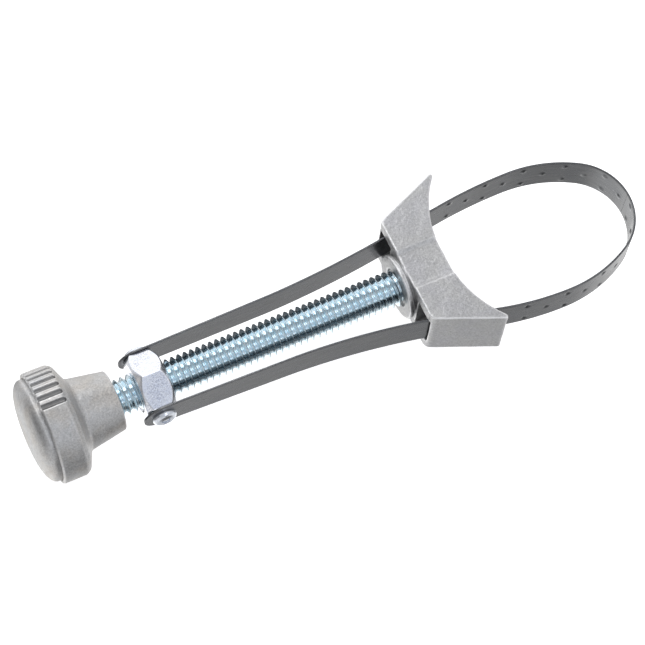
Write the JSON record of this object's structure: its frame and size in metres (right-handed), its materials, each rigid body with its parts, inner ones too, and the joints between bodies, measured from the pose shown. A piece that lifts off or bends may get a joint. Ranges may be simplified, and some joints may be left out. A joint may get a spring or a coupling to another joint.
{
  "type": "oil filter wrench",
  "caption": "Band-type oil filter wrench: a turned knob and threaded spindle pull a travelling nut that tightens a spring-steel band loop through a cast cradle.",
  "frame": {"origin": "centre of the band loop's far arc, halfway across the band's width", "axes": "+X along the spindle from the knob towards the loop's far end, +Z along the loop's own axis (the filter's axis), +Y across the jaws"},
  "size_m": [0.2415, 0.0644, 0.0422],
  "materials": {
    "cast_body": "fine matt die-cast skin",
    "cast_knob": "fine matt die-cast skin",
    "plated_steel": "bright blue zinc plating",
    "spring_clip": "phosphated spring steel",
    "band_steel": "dark rolled spring steel"
  },
  "bodies": {
    "cradle": {"cradle": "cast_body", "thrust_washer": "plated_steel"},
    "spindle": {"spindle": "plated_steel", "circlip": "spring_clip", "knob": "cast_knob"},
    "nut": {"nut": "plated_steel", "screw_p": "plated_steel", "screw_n": "plated_steel", "band_tab_p": "band_steel", "band_tab_n": "band_steel"},
    "band_p1_link": {"band_p1": "band_steel"},
    "band_p2_link": {"band_p2": "band_steel"},
    "band_p3_link": {"band_p3": "band_steel"},
    "band_p4_link": {"band_p4": "band_steel"},
    "band_p5_link": {"band_p5": "band_steel"},
    "band_p6_link": {"band_p6": "band_steel"},
    "band_p7_link": {"band_p7": "band_steel"},
    "band_p8_link": {"band_p8": "band_steel"},
    "band_n1_link": {"band_n1": "band_steel"},
    "band_n2_link": {"band_n2": "band_steel"},
    "band_n3_link": {"band_n3": "band_steel"},
    "band_n4_link": {"band_n4": "band_steel"},
    "band_n5_link": {"band_n5": "band_steel"},
    "band_n6_link": {"band_n6": "band_steel"},
    "band_n7_link": {"band_n7": "band_steel"},
    "band_n8_link": {"band_n8": "band_steel"}
  },
  "joints": [
    {"name": "spindle_turn", "type": "hinge", "parent": "cradle", "child": "spindle", "pos_m": [-0.0702, 0.003, 0], "axis": [1, 0, 0], "range_deg": [-12240, 864]},
    {"name": "nut_slide", "type": "slide", "parent": "cradle", "child": "nut", "axis": [1, 0, 0], "range_m": [-0.006, 0.08504]},
    {"name": "band_p_bend_1", "type": "hinge", "parent": "nut", "child": "band_p1_link", "pos_m": [-0.1652, 0.0149, 0], "axis": [0, 0, 1], "range_deg": [-0.74, 10.43]},
    {"name": "band_p_bend_2", "type": "hinge", "parent": "band_p1_link", "child": "band_p2_link", "pos_m": [-0.08662, 0.01797, 0], "axis": [0, 0, 1], "range_deg": [-14.38, 1.02]},
    {"name": "band_p_bend_3", "type": "hinge", "parent": "band_p2_link", "child": "band_p3_link", "pos_m": [-0.07076, 0.02004, 0], "axis": [0, 0, 1], "range_deg": [-10.86, 0.77]},
    {"name": "band_p_bend_4", "type": "hinge", "parent": "band_p3_link", "child": "band_p4_link", "pos_m": [-0.0579, 0.02196, 0], "axis": [0, 0, 1], "range_deg": [-0.55, 7.72]},
    {"name": "band_p_bend_5", "type": "hinge", "parent": "band_p4_link", "child": "band_p5_link", "pos_m": [-0.04505, 0.02388, 0], "axis": [0, 0, 1], "range_deg": [-0.19, 2.66]},
    {"name": "band_p_bend_6", "type": "hinge", "parent": "band_p5_link", "child": "band_p6_link", "pos_m": [-0.02115, 0.02596, 0], "axis": [0, 0, 1], "range_deg": [-6.45, 0.46]},
    {"name": "band_p_bend_7", "type": "hinge", "parent": "band_p6_link", "child": "band_p7_link", "pos_m": [0.00246, 0.02272, 0], "axis": [0, 0, 1], "range_deg": [-0.19, 2.65]},
    {"name": "band_p_bend_8", "type": "hinge", "parent": "band_p7_link", "child": "band_p8_link", "pos_m": [0.01606, 0.01459, 0], "axis": [0, 0, 1], "range_deg": [-0.58, 8.24]},
    {"name": "band_n_bend_1", "type": "hinge", "parent": "nut", "child": "band_n1_link", "pos_m": [-0.1652, -0.0089, 0], "axis": [0, 0, -1], "range_deg": [-0.93, 13.17]},
    {"name": "band_n_bend_2", "type": "hinge", "parent": "band_n1_link", "child": "band_n2_link", "pos_m": [-0.13071, -0.00991, 0], "axis": [0, 0, -1], "range_deg": [-8.45, 0.6]},
    {"name": "band_n_bend_3", "type": "hinge", "parent": "band_n2_link", "child": "band_n3_link", "pos_m": [-0.11772, -0.01033, 0], "axis": [0, 0, -1], "range_deg": [-0.17, 2.43]},
    {"name": "band_n_bend_4", "type": "hinge", "parent": "band_n3_link", "child": "band_n4_link", "pos_m": [-0.079, -0.01476, 0], "axis": [0, 0, -1], "range_deg": [-10.9, 0.77]},
    {"name": "band_n_bend_5", "type": "hinge", "parent": "band_n4_link", "child": "band_n5_link", "pos_m": [-0.04484, -0.02238, 0], "axis": [0, 0, -1], "range_deg": [-7.08, 0.5]},
    {"name": "band_n_bend_6", "type": "hinge", "parent": "band_n5_link", "child": "band_n6_link", "pos_m": [-0.02115, -0.02592, 0], "axis": [0, 0, -1], "range_deg": [-2.94, 0.21]},
    {"name": "band_n_bend_7", "type": "hinge", "parent": "band_n6_link", "child": "band_n7_link", "pos_m": [0.00246, -0.02272, 0], "axis": [0, 0, -1], "range_deg": [-0.53, 7.55]},
    {"name": "band_n_bend_8", "type": "hinge", "parent": "band_n7_link", "child": "band_n8_link", "pos_m": [0.01606, -0.01459, 0], "axis": [0, 0, -1], "range_deg": [-0.44, 6.2]}
  ],
  "couplings": [
    {"joint": "nut_slide", "follows": "spindle_turn", "m_per_rad": -0.00039789},
    {"joint": "band_p_bend_1", "follows": "spindle_turn", "ratio": -0.00085016},
    {"joint": "band_p_bend_2", "follows": "spindle_turn", "ratio": 0.0011721},
    {"joint": "band_p_bend_3", "follows": "spindle_turn", "ratio": 0.0008858},
    {"joint": "band_p_bend_4", "follows": "spindle_turn", "ratio": -0.00062976},
    {"joint": "band_p_bend_5", "follows": "spindle_turn", "ratio": -0.00021656},
    {"joint": "band_p_bend_6", "follows": "spindle_turn", "ratio": 0.00052617},
    {"joint": "band_p_bend_7", "follows": "spindle_turn", "ratio": -0.00021568},
    {"joint": "band_p_bend_8", "follows": "spindle_turn", "ratio": -0.00067194},
    {"joint": "band_n_bend_1", "follows": "spindle_turn", "ratio": -0.0010741},
    {"joint": "band_n_bend_2", "follows": "spindle_turn", "ratio": 0.00068868},
    {"joint": "band_n_bend_3", "follows": "spindle_turn", "ratio": -0.00019819},
    {"joint": "band_n_bend_4", "follows": "spindle_turn", "ratio": 0.00088835},
    {"joint": "band_n_bend_5", "follows": "spindle_turn", "ratio": 0.00057688},
    {"joint": "band_n_bend_6", "follows": "spindle_turn", "ratio": 0.00023984},
    {"joint": "band_n_bend_7", "follows": "spindle_turn", "ratio": -0.00061557},
    {"joint": "band_n_bend_8", "follows": "spindle_turn", "ratio": -0.00050584}
  ]
}
